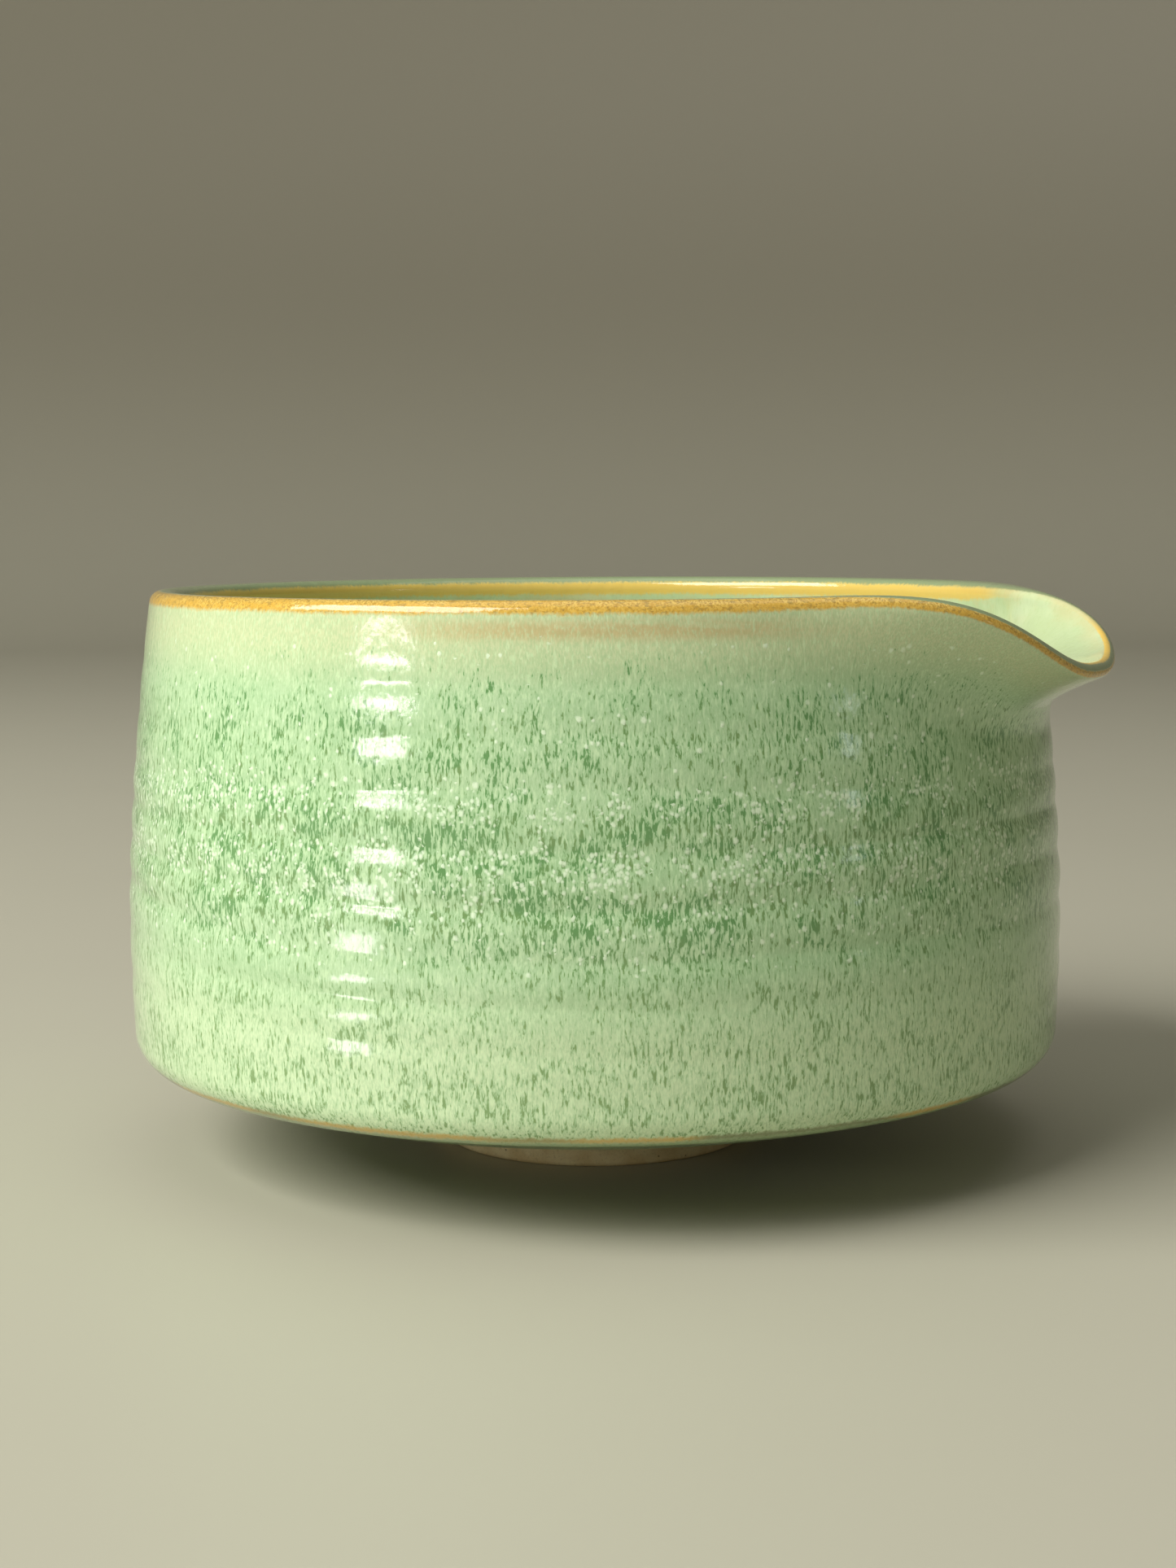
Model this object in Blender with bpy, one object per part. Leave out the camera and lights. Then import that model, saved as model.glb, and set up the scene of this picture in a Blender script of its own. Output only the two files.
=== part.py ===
"""Glazed stoneware pouring bowl with a pulled spout, on a small turned foot ring.

+Z is up, the spout points along +X, and the origin is on the table under the
middle of the whole bowl.  Dimensions are in millimetres and the meshes are
written in metres.
"""
import math

import bpy
import numpy as np

MM = 0.001

# ---------------------------------------------------------------- driving sizes
BODY_R = 62.5            # greatest radius of the belly
BELLY_Z = 31.0           # height of the greatest radius
HEIGHT = 74.9            # table to the top of the lip
LIP_IN = 3.40            # how far the wall leans in from the belly to the lip
LEAN_POWER = 1.6         # how late that lean comes
SKIRT_IN = 0.35          # how far the wall draws in just above the lower edge
WALL_T = 4.0             # wall and lip thickness with both glazes
WALL_LOW_T = 5.2         # wall thickness low down
EDGE_R = 4.4             # radius of the turned lower edge
UNDER_SLOPE = 0.30       # slope of the underside beside the lower edge
FOOT_R = 20.9            # outer radius of the foot ring at the table
FOOT_W = 4.6             # width of the foot ring at the table
FOOT_H = 4.2             # where the underside meets the foot ring
FOOT_CHAMFER = 0.5       # bevel on both edges of the resting face
RECESS_Z = 3.6           # height of the turned recess inside the foot ring
FLOOR_Z = 8.6            # inside floor at the axis
FLOOR_R = 30.0           # where the inside floor starts to turn up
INNER_TURN_Z = 30.0      # where the inside wall has become upright

SPOUT_OUT = 10.1         # how far the spout pushes the lip outward
SPOUT_DROP = 9.2         # how far it pulls the lip down
SPOUT_W_OUT = 29.9       # half angle of the outward push on the near side, degrees
SPOUT_W_OUT_FAR = 22.7   # the same on the far side (the spout is pulled by hand)
SPOUT_W_DROP = 17.6      # half angle of the downward pull on the near side
SPOUT_W_DROP_FAR = 18.1  # the same on the far side
SPOUT_FULL = 3.6         # how blunt the push is across the spout
SPOUT_SCOOP = 2.5        # how blunt the pull is across the spout
SPOUT_DEPTH = 17.0       # how far down the wall the throat reaches
THROAT_W = 0.55          # share of the half angle left at the foot of the throat
TIP_T = 2.2              # lip thickness at the tip of the spout

GLAZE_T = 0.5            # thickness of every glaze layer
GAP = 0.3                # clearance between neighbouring bodies
BAND_OUT = 3.2           # amber band, down from the lip top on the outside
BAND_IN = 3.2            # the same on the inside
GLAZE_STOP_R = 23.5      # the outer glaze ends on the underside at this radius
SPOUT_CUT = 42.0         # the spout is a separate clay body inside +-this angle
SPOUT_CUT_H = 19.5       # and down to this distance below the lip edge

AXIS_X = -3.8            # the bowl's own axis; the spout reaches out to +X

# angular stations: fine across the spout, coarser round the rest
FINE_STEP = 3.0
COARSE_STEP = 8.0
N_HIGH = 8                # rows of the upper wall, where the spout is
CUT_GAP_DEG = math.degrees(GAP / 2 / 59.0)


def smooth(t):
    t = np.clip(t, 0.0, 1.0)
    return t * t * (3 - 2 * t)


def edge_z():
    """Height of the lip's outer edge, where the round-over begins."""
    return HEIGHT - WALL_T / 2


def wall_r(z):
    up = np.clip((z - BELLY_Z) / (HEIGHT - 2.0 - BELLY_Z), 0, None)
    dn = np.clip((BELLY_Z - z) / 15.0, 0, None)
    return BODY_R - LIP_IN * up ** LEAN_POWER - SKIRT_IN * dn ** 2


def under_z(r):
    x1 = 57.7 - FOOT_R
    b = (11.7 - FOOT_H - UNDER_SLOPE * x1) / (-x1 * x1)
    a = UNDER_SLOPE - 2 * b * x1
    x = r - FOOT_R
    return FOOT_H + a * x + b * x * x


# the lower edge: an arc between the upright wall and the sloping underside
EDGE_ANG = math.atan(UNDER_SLOPE)
EDGE_CX = wall_r(16.6) - EDGE_R
EDGE_CZ = 16.6


def outer_profile(n_under, n_edge, n_wall, r0):
    """(r, z, is_wall) from radius r0 on the underside to the lip's outer edge."""
    pts = []
    a_end = math.pi / 2 - EDGE_ANG
    rx = EDGE_CX + EDGE_R * math.cos(a_end)
    zx = EDGE_CZ - EDGE_R * math.sin(a_end)
    shift = zx - under_z(rx)
    for i in range(n_under):
        t = i / n_under
        r = r0 + (rx - r0) * t
        pts.append((r, under_z(r) + shift * smooth((r - r0) / (rx - r0))))
    for i in range(n_edge):
        a = a_end * (1 - i / n_edge)
        pts.append((EDGE_CX + EDGE_R * math.cos(a), EDGE_CZ - EDGE_R * math.sin(a)))
    zs = wall_heights(n_wall)
    for z in zs:
        pts.append((float(wall_r(z)), z))
    return pts


def wall_heights(n_wall):
    """Stations up the wall, closer together through the spout's throat."""
    top, cut = edge_z(), edge_z() - SPOUT_CUT_H
    n_low = n_wall - N_HIGH
    low = [EDGE_CZ + (cut - GAP / 2 - EDGE_CZ) * i / (n_low - 1) for i in range(n_low)]
    rise = top - cut - GAP / 2
    mid = BAND_OUT - WALL_T / 2 + GAP
    high = [top - mid - (rise - mid) * (1 - i / (N_HIGH - 2)) ** 1.35 for i in range(N_HIGH - 1)]
    high.append(top)
    return low + high


def bell(phi_deg, w, n):
    return np.exp(-(np.abs(phi_deg) / w) ** n)


def spout_wrap(phi):
    """Angle from the spout axis in degrees, -180..180; negative is the near side."""
    return (np.degrees(phi) + 180.0) % 360.0 - 180.0


def outer_point(phi, h):
    """Outside surface of the upper wall, h below the lip edge, as (x, y, z)."""
    d = spout_wrap(phi)
    z0 = edge_z() - h
    u = np.clip(h / SPOUT_DEPTH, 0, 1)
    narrow = 1 - (1 - THROAT_W) * smooth(u)
    wo = np.where(d < 0, SPOUT_W_OUT, SPOUT_W_OUT_FAR)
    push = SPOUT_OUT * (1 - u) ** 1.6 * bell(d, wo * narrow, SPOUT_FULL)
    wd = np.where(d < 0, SPOUT_W_DROP, SPOUT_W_DROP_FAR) * narrow
    fall = np.where(u < 0.7, 1 - 1.266 * u, 0.114 * np.clip((1 - u) / 0.3, 0, 1) ** 1.5)
    drop = SPOUT_DROP * fall * bell(d, wd, SPOUT_SCOOP)
    r = wall_r(z0) + push
    return np.array([r * np.cos(phi), r * np.sin(phi), z0 - drop])


def frame_at(phi, h):
    """Point, outward normal and the direction toward the lip on that surface."""
    e = 1e-3
    h1 = max(h, 0.0)
    p = outer_point(phi, h1)
    dh = (outer_point(phi, h1 + 0.35) - outer_point(phi, max(h1 - 0.35, 0.0)))
    dp = outer_point(phi + 0.01, h1) - outer_point(phi - 0.01, h1)
    n = np.cross(dp, -dh)
    n /= np.linalg.norm(n)
    t = -dh / np.linalg.norm(dh)
    return p, n, t


def thickness(phi, h):
    d = spout_wrap(phi)
    low = smooth((h - 22.0) / 25.0)
    t = WALL_T + (WALL_LOW_T - WALL_T) * low
    return t - (WALL_T - TIP_T) * float(bell(d, 30.0, 3.0)) * float(smooth(1 - h / 12.0))


def on_wall(phi, h, depth):
    """A point `depth` inside the outside surface."""
    p, n, _ = frame_at(phi, h)
    return p - n * depth


def lip_round(phi, inset, n):
    """Round-over of the lip from the outer edge to the inner edge."""
    p, nrm, t = frame_at(phi, 0.0)
    half = thickness(phi, 0.0) / 2
    c = p - nrm * half
    rad = half - inset
    return [c + rad * (math.cos(b) * nrm + math.sin(b) * t)
            for b in (math.pi * j / n for j in range(n + 1))]


def inner_low_profile(n_floor, n_turn):
    """(r, z) of the inside from the axis to the upright wall, glaze surface."""
    r1 = float(wall_r(INNER_TURN_Z)) - float(thickness(math.pi, edge_z() - INNER_TURN_Z))
    pts = [(FLOOR_R * i / n_floor, FLOOR_Z + 0.4 * (i / n_floor) ** 2) for i in range(n_floor)]
    z0 = FLOOR_Z + 0.4
    for i in range(n_turn):
        a = math.pi / 2 * i / n_turn
        pts.append((FLOOR_R + (r1 - FLOOR_R) * math.sin(a) ** 0.9,
                    z0 + (INNER_TURN_Z - z0) * (1 - math.cos(a)) ** 1.05))
    return pts


def offset_profile(pts, dist):
    """Move a profile sideways; positive is to the left of its direction."""
    p = np.array(pts, float)
    t = np.gradient(p, axis=0)
    t /= np.linalg.norm(t, axis=1)[:, None]
    n = np.stack([-t[:, 1], t[:, 0]], 1)
    return p + n * dist


def stations(with_cut=False):
    """Angles round the bowl in degrees, with a double station at the spout's cuts."""
    c = SPOUT_CUT
    fine = [-c + CUT_GAP_DEG]
    n = int(round(2 * c / FINE_STEP))
    fine += [-c + 2 * c * i / n for i in range(1, n)]
    fine += [c - CUT_GAP_DEG]
    rest_n = int(round((360 - 2 * c) / COARSE_STEP))
    rest = [c + CUT_GAP_DEG]
    rest += [c + (360 - 2 * c) * i / rest_n for i in range(1, rest_n)]
    rest += [360 - c - CUT_GAP_DEG]
    return fine, rest


FINE, REST = stations()
PHI = np.radians(np.array(FINE + REST))
NF, NP = len(FINE), len(FINE) + len(REST)


# ------------------------------------------------------------------- mesh tools
def clear_scene():
    for ob in list(bpy.data.objects):
        bpy.data.objects.remove(ob, do_unlink=True)


def material(name, rgb, rough, metal=0.0):
    m = bpy.data.materials.new(name)
    m.use_nodes = True
    b = m.node_tree.nodes["Principled BSDF"]
    b.inputs["Base Color"].default_value = (*rgb, 1.0)
    b.inputs["Roughness"].default_value = rough
    b.inputs["Metallic"].default_value = metal
    return m


def add_mesh(name, verts, faces, mat):
    v = np.array(verts, float)
    tri_vol = 0.0
    for f in faces:
        a = v[f[0]]
        for i in range(1, len(f) - 1):
            tri_vol += float(np.dot(a, np.cross(v[f[i]], v[f[i + 1]])))
    if tri_vol < 0:
        faces = [tuple(reversed(f)) for f in faces]
    v = (v + np.array([AXIS_X, 0, 0])) * MM
    me = bpy.data.meshes.new(name)
    me.from_pydata([tuple(p) for p in v], [], [tuple(f) for f in faces])
    me.materials.append(mat)
    me.update()
    ob = bpy.data.objects.new(name, me)
    bpy.context.scene.collection.objects.link(ob)
    return ob


def slab(name, out, inn, mat, closed=True, pole=False, keep=None, lip=None, foot_lip=None):
    """A closed body between two grids of points out[i][k] and inn[i][k].

    closed joins the last angle to the first, pole means row 0 is one point,
    keep(i, k) says which cells exist, and lip[i] lists the points of the
    round-over between out[i][-1] and inn[i][-1].
    """
    ni, nk = len(out), len(out[0])
    verts, index = [], {}

    def vid(key, p):
        if key not in index:
            index[key] = len(verts)
            verts.append(tuple(p))
        return index[key]

    def o(i, k):
        i %= ni
        return vid(("o", 0 if pole and k == 0 else i, k), out[i][k])

    def q(i, k):
        i %= ni
        return vid(("q", 0 if pole and k == 0 else i, k), inn[i][k])

    def chain(i, k):
        i %= ni
        if lip is not None and k == nk - 1:
            mids = [vid(("m", i, j), p) for j, p in enumerate(lip[i])]
            return [o(i, k)] + mids + [q(i, k)]
        return [o(i, k), q(i, k)]

    cells = set()
    for i in range(ni if closed else ni - 1):
        for k in range(nk - 1):
            if keep is None or keep(i, k):
                cells.add((i, k))
    faces = []

    def quad(*ids):
        ids = [a for n, a in enumerate(ids) if a != ids[n - 1]]
        for n in range(1, len(ids) - 1):
            faces.append((ids[0], ids[n], ids[n + 1]))

    def side(a, b):
        """Wall between two vertical chains, seen from outside the body."""
        if len(a) == len(b):
            for j in range(len(a) - 1):
                quad(a[j], b[j], b[j + 1], a[j + 1])
        else:
            faces.append(tuple(b + a[::-1]))

    for i, k in cells:
        quad(o(i, k), o(i + 1, k), o(i + 1, k + 1), o(i, k + 1))
        quad(q(i, k), q(i, k + 1), q(i + 1, k + 1), q(i + 1, k))
        nxt = ((i + 1) % ni, k) if closed else (i + 1, k)
        prv = ((i - 1) % ni, k) if closed else (i - 1, k)
        if nxt not in cells:
            side(chain(i + 1, k + 1), chain(i + 1, k))
        if prv not in cells:
            side(chain(i, k), chain(i, k + 1))
        if (i, k + 1) not in cells:
            side(chain(i, k + 1), chain(i + 1, k + 1))
        if (i, k - 1) not in cells and not (pole and k == 0):
            side(chain(i + 1, k), chain(i, k))
    return add_mesh(name, verts, faces, mat)


def ring3(r, z, phi):
    return np.array([r * math.cos(phi), r * math.sin(phi), z])


# ------------------------------------------------------------------- the pieces
def column(phi, depth, r0, n_under, n_edge, n_wall, h_stop=0.0):
    """One column of the outside, `depth` inside the surface, underside to lip."""
    prof = outer_profile(n_under, n_edge, n_wall, r0)
    cut = n_under + n_edge
    low = offset_profile(prof[:cut + 3], depth)[:cut]
    col = []
    for j, (r, z) in enumerate(low):
        col.append(ring3(r, z, phi))
    for r, z in prof[cut:]:
        h = edge_z() - z
        if h < h_stop - 1e-6:
            break
        col.append(on_wall(phi, h, depth))
    return col


def in_column(phi, depth, n_floor, n_turn, zs, h_stop=0.0):
    """One column of the inside, `depth` into the wall from the inner surface."""
    prof = inner_low_profile(n_floor, n_turn)
    r1 = float(wall_r(INNER_TURN_Z)) - thickness(math.pi, edge_z() - INNER_TURN_Z)
    ext = prof + [(r1, INNER_TURN_Z), (r1, INNER_TURN_Z + 2)]
    low = offset_profile(ext, -depth)[:len(prof)]
    low[0][0] = 0.0
    col = [ring3(r, z, phi) for r, z in low]
    for z in zs:
        h = edge_z() - z
        if h < h_stop - 1e-6:
            break
        col.append(on_wall(phi, h, thickness(phi, h) - depth))
    return col


N_FLOOR, N_TURN = 3, 7
N_WALL = 12
WALL_Z = wall_heights(N_WALL)
IN_Z = [z for z in WALL_Z if z > INNER_TURN_Z + 1.0]


def build():
    clear_scene()
    clay = material("fired_clay", (0.62, 0.50, 0.36), 0.85)
    clay_s = material("fired_clay_spout", (0.62, 0.50, 0.36), 0.85)
    bare = material("bare_foot_clay", (0.70, 0.56, 0.38), 0.8)
    green = material("green_glaze", (0.30, 0.48, 0.24), 0.12)
    cream = material("liner_glaze", (0.62, 0.70, 0.46), 0.12)
    amber = material("amber_glaze", (0.62, 0.36, 0.08), 0.15)

    skin = GLAZE_T + GAP          # clay surface under a glaze layer
    n_under, n_edge = 2, 3

    # clay bowl: outer column and inner column with the same number of rows
    out, inn, lips = [], [], []
    n_low = n_under + n_edge
    for phi in PHI:
        # outside: axis, recess, up to the underside, then out to the lip
        r_in = FOOT_R - FOOT_W
        top = RECESS_Z + 0.0
        head = [ring3(0, top, phi), ring3(r_in + 0.2, top + GAP, phi),
                ring3(FOOT_R + 0.2, FOOT_H + GAP, phi)]
        body = column(phi, skin, GLAZE_STOP_R - 0.6, n_under, n_edge, N_WALL)
        out.append(head + body)
        low = in_column(phi, skin, N_FLOOR, N_TURN, [])
        wall = [on_wall(phi, edge_z() - z, thickness(phi, edge_z() - z) - skin)
                for z in WALL_Z if z > INNER_TURN_Z - 0.01]
        inn.append(low + wall)
        lips.append(lip_round(phi, skin, 4)[1:-1])
    nk = len(out[0])
    k_cut = nk - N_HIGH                # first row of the spout's own height range

    def keep_bowl(i, k):
        return not (k >= k_cut - 1 and (i < NF - 1 or i in (NF - 1, NP - 1)))

    slab("clay_bowl", out, inn, clay, pole=True, keep=keep_bowl, lip=lips)
    slab("pouring_spout", [c[k_cut:] for c in out[:NF]], [c[k_cut:] for c in inn[:NF]],
         clay_s, closed=False, lip=lips[:NF])

    # foot ring
    prof = foot_profile()
    out = [[ring3(r, z, p) for r, z in prof] for p in PHI]
    ring_body("foot_ring", out, bare)

    # outer glaze: from beside the foot ring to the lower edge of the amber band
    stop = BAND_OUT - WALL_T / 2 + 1.5 * GAP
    out = [glaze_col(p, 0.0, n_under, n_edge, stop) for p in PHI]
    inn = [glaze_col(p, GLAZE_T, n_under, n_edge, stop) for p in PHI]
    slab("outer_glaze", out, inn, green)

    # liner glaze: from the floor to the amber band inside
    stop_i = BAND_IN - WALL_T / 2 + 3 * GAP
    zs = IN_Z[:-2] + [edge_z() - stop_i]
    out = [in_column(p, 0.0, N_FLOOR, N_TURN, zs) for p in PHI]
    inn = [in_column(p, GLAZE_T, N_FLOOR, N_TURN, zs) for p in PHI]
    slab("inner_glaze", out, inn, cream, pole=True)

    # amber band over the lip
    def band(phi, inset):
        h_out = BAND_OUT - WALL_T / 2
        h_in = BAND_IN - WALL_T / 2
        col = [on_wall(phi, h_out, inset), on_wall(phi, h_out * 0.5, inset)]
        col += lip_round(phi, inset, 6)
        col += [on_wall(phi, h_in * 0.5, thickness(phi, h_in * 0.5) - inset),
                on_wall(phi, h_in, thickness(phi, h_in) - inset)]
        return col

    slab("rim_glaze", [band(p, 0.0) for p in PHI], [band(p, GLAZE_T) for p in PHI], amber)


def glaze_col(phi, depth, n_under, n_edge, stop):
    col = column(phi, depth, GLAZE_STOP_R, n_under, n_edge, N_WALL, h_stop=stop + 0.6)
    col.append(on_wall(phi, stop, depth))
    return col


def foot_profile():
    """Closed section of the foot ring, starting at the outer top corner."""
    ro, ri = FOOT_R, FOOT_R - FOOT_W
    c = FOOT_CHAMFER
    return [(ro + 0.2, FOOT_H), (ro + 0.1, 1.6), (ro, c), (ro - c, 0.0), (ri + c, 0.0), (ri, c),
            (ri + 0.15, 1.9), (ri + 0.2, RECESS_Z - 0.05)]


def ring_body(name, cols, mat):
    n, m = len(cols), len(cols[0])
    verts = [tuple(p) for c in cols for p in c]
    faces = []
    for i in range(n):
        for j in range(m):
            a, b = i * m + j, ((i + 1) % n) * m + j
            c, d = ((i + 1) % n) * m + (j + 1) % m, i * m + (j + 1) % m
            faces += [(a, b, c), (a, c, d)]
    return add_mesh(name, verts, faces, mat)


build()
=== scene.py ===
"""Looks of the glazed pouring bowl: fine skins over the CAD bodies, glaze and clay materials, studio."""
import math

import bpy
import numpy as np
from mathutils import Matrix, Vector


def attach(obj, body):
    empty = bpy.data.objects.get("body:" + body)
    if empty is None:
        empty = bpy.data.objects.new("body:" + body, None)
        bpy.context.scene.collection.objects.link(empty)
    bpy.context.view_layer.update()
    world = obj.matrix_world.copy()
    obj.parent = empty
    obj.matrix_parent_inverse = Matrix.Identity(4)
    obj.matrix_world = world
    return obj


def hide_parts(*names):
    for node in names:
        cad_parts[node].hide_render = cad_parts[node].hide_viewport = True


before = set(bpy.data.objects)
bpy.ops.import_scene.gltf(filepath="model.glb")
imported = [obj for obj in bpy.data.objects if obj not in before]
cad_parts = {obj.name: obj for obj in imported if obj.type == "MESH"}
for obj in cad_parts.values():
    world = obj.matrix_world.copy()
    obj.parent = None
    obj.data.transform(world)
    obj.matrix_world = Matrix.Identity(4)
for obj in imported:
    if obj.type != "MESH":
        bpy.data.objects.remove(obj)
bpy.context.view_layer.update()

# ------------------------------------------------------------------ shape (mm, about the bowl's axis)
BODY_R, BELLY_Z, HEIGHT = 62.5, 31.0, 74.9
LIP_IN, LEAN_POWER, SKIRT_IN = 3.40, 1.6, 0.35
WALL_T, WALL_LOW_T, TIP_T = 4.0, 5.2, 2.2
EDGE_R, UNDER_SLOPE = 4.4, 0.30
FOOT_R, FOOT_W, FOOT_H, RECESS_Z = 20.9, 4.6, 4.2, 3.6
FLOOR_Z, FLOOR_R, INNER_TURN_Z = 8.6, 30.0, 30.0
SPOUT_OUT, SPOUT_DROP = 10.1, 9.2
SPOUT_W_OUT, SPOUT_W_OUT_FAR = 29.9, 22.7
SPOUT_W_DROP, SPOUT_W_DROP_FAR = 17.6, 18.1
SPOUT_FULL, SPOUT_SCOOP, SPOUT_DEPTH, THROAT_W = 3.6, 2.5, 17.0, 0.55
RING_PITCH, RING_AMP = 5.95, 0.17
GLAZE_T, GLAZE_STOP_R = 0.5, 23.5
AXIS_X = -3.8
SPOUT_CUT, SPOUT_CUT_H, GAP = 42.0, 19.5, 0.3
MM = 0.001
TOP_Z = HEIGHT - WALL_T / 2
VIEW_TURN = 27.2                      # the spout stands this far round towards the camera


def smooth(t):
    t = np.clip(t, 0.0, 1.0)
    return t * t * (3 - 2 * t)


def wall_r(z):
    up = np.clip((z - BELLY_Z) / (HEIGHT - 2.0 - BELLY_Z), 0, None)
    dn = np.clip((BELLY_Z - z) / 15.0, 0, None)
    return BODY_R - LIP_IN * up ** LEAN_POWER - SKIRT_IN * dn ** 2


def under_z(r):
    x1 = 57.7 - FOOT_R
    b = (11.7 - FOOT_H - UNDER_SLOPE * x1) / (-x1 * x1)
    a = UNDER_SLOPE - 2 * b * x1
    x = r - FOOT_R
    return FOOT_H + a * x + b * x * x


def bell(d, w, n):
    return np.exp(-(np.abs(d) / w) ** n)


def wrap(phi):
    return (np.degrees(phi) + 180.0) % 360.0 - 180.0


def ridge(t):
    """One turn of the throwing spiral, t in turns: a broad swell and a narrow groove beside it."""
    return 1.9 * (np.sqrt(np.cos(math.pi * t) ** 2 + 0.010) - 0.66)


def rings(phi, z):
    """Throwing spiral on the outside, in mm; it rises half a pitch from one side to the other."""
    turn = z / RING_PITCH + phi / (2 * math.pi) - 0.21
    wob = 0.13 * np.sin(phi * 2 + z * 0.11) + 0.08 * np.sin(phi * 3 - z * 0.21 + 1.0)
    strong = 0.26 + 0.74 * np.exp(-((z - 41.0) / 12.5) ** 2)
    strong = strong * (1 + 0.22 * np.sin(phi * 2 - z * 0.5) + 0.14 * np.sin(phi * 5 + z * 0.33))
    fade = smooth((z - 17.5) / 6.0) * smooth((71.5 - z) / 4.0)
    return RING_AMP * strong * fade * ridge(turn + wob)


def inner_rings(phi, z):
    turn = z / 6.1 - phi / (2 * math.pi)
    fade = smooth((z - 14.0) / 8.0) * smooth((68.0 - z) / 8.0)
    return 0.16 * fade * ridge(turn + 0.1 * np.sin(2 * phi + 0.1 * z))


def base_point(phi, h):
    """Outside surface without the rings, h below the lip's outer edge."""
    d = wrap(phi)
    z0 = TOP_Z - h
    u = np.clip(h / SPOUT_DEPTH, 0, 1)
    narrow = 1 - (1 - THROAT_W) * smooth(u)
    wo = np.where(d < 0, SPOUT_W_OUT, SPOUT_W_OUT_FAR) * narrow
    push = SPOUT_OUT * (1 - u) ** 1.6 * bell(d, wo, SPOUT_FULL)
    wd = np.where(d < 0, SPOUT_W_DROP, SPOUT_W_DROP_FAR) * narrow
    fall = np.where(u < 0.7, 1 - 1.266 * u, 0.114 * np.clip((1 - u) / 0.3, 0, 1) ** 1.5)
    drop = SPOUT_DROP * fall * bell(d, wd, SPOUT_SCOOP)
    r = wall_r(z0) + push
    return np.stack([r * np.cos(phi), r * np.sin(phi), z0 - drop], -1)


def unit(v):
    return v / np.linalg.norm(v, axis=-1, keepdims=True)


def wall_frame(phi, h):
    """Point, outward normal and direction to the lip, for arrays of angle and depth."""
    p = base_point(phi, h)
    lo = np.maximum(h - 0.3, 0.0)
    dh = base_point(phi, h + 0.3) - base_point(phi, lo)
    dp = base_point(phi + 0.006, h) - base_point(phi - 0.006, h)
    n = unit(np.cross(dp, -dh))
    return p, n, unit(-dh)


def thickness(phi, h):
    low = smooth((h - 22.0) / 25.0)
    t = WALL_T + (WALL_LOW_T - WALL_T) * low
    return t - (WALL_T - TIP_T) * bell(wrap(phi), 30.0, 3.0) * smooth(1 - h / 12.0)


def spout_share(phi, h):
    """1 where the spout is pulled, 0 on the plain wall: the rings are wiped out there."""
    return bell(wrap(phi), 34.0, 4.0) * smooth(1 - (h - 4.0) / 16.0)


def outside(phi, h, depth=0.0):
    p, n, _ = wall_frame(phi, h)
    ring = rings(phi, TOP_Z - h) * (1 - spout_share(phi, h)) if depth == 0.0 else 0.0
    ring = np.asarray(ring)[..., None] if np.ndim(ring) else ring
    return p + n * (ring - depth)


def inside(phi, h, depth=0.0):
    p, n, _ = wall_frame(phi, h)
    ring = inner_rings(phi, TOP_Z - h) * (1 - spout_share(phi, h)) if depth == 0.0 else 0.0
    t = thickness(phi, h) - depth + ring
    return p - n * t[..., None]


LIP_POWER = 2.45


def lip_points(phi, n, inset=0.0):
    """Round-over of the lip, (len(phi), n + 1, 3), slightly squarer than a half circle."""
    p, nrm, t = wall_frame(phi, np.zeros_like(phi))
    half = thickness(phi, np.zeros_like(phi)) / 2
    c = p - nrm * half[:, None]
    rad = (half - inset)[:, None, None]
    b = np.linspace(0, math.pi, n + 1)
    e = 2 / LIP_POWER
    cb = np.sign(np.cos(b)) * np.abs(np.cos(b)) ** e
    sb = np.abs(np.sin(b)) ** e
    return c[:, None] + rad * (cb[None, :, None] * nrm[:, None] + sb[None, :, None] * t[:, None])


EDGE_ANG = math.atan(UNDER_SLOPE)
EDGE_CZ = 16.6
EDGE_CX = float(wall_r(EDGE_CZ)) - EDGE_R


def low_outer(n_under, n_edge, r0):
    """(r, z) up the underside and round the turned edge, ending just below the wall."""
    a_end = math.pi / 2 - EDGE_ANG
    rx, zx = EDGE_CX + EDGE_R * math.cos(a_end), EDGE_CZ - EDGE_R * math.sin(a_end)
    shift = zx - under_z(rx)
    pts = []
    for i in range(n_under):
        r = r0 + (rx - r0) * i / n_under
        pts.append((r, under_z(r) + shift * float(smooth((r - r0) / (rx - r0)))))
    for i in range(n_edge):
        a = a_end * (1 - i / n_edge)
        pts.append((EDGE_CX + EDGE_R * math.cos(a), EDGE_CZ - EDGE_R * math.sin(a)))
    return np.array(pts)


def low_inner(n_floor, n_turn):
    h = TOP_Z - INNER_TURN_Z
    r1 = float(wall_r(INNER_TURN_Z)) - float(thickness(np.array(math.pi), np.array(h)))
    pts = [(FLOOR_R * i / n_floor, FLOOR_Z + 0.4 * (i / n_floor) ** 2) for i in range(n_floor)]
    z0 = FLOOR_Z + 0.4
    for i in range(n_turn):
        a = math.pi / 2 * i / n_turn
        pts.append((FLOOR_R + (r1 - FLOOR_R) * math.sin(a) ** 0.9,
                    z0 + (INNER_TURN_Z - z0) * (1 - math.cos(a)) ** 1.05))
    return np.array(pts), r1


def shift_profile(p, dist):
    t = np.gradient(p, axis=0)
    t /= np.linalg.norm(t, axis=1)[:, None]
    return p + np.stack([-t[:, 1], t[:, 0]], 1) * dist


def spin(prof, phi):
    r, z = prof[:, 0], prof[:, 1]
    return np.stack([np.cos(phi)[:, None] * r, np.sin(phi)[:, None] * r,
                     np.ones_like(phi)[:, None] * z], -1)


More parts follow.
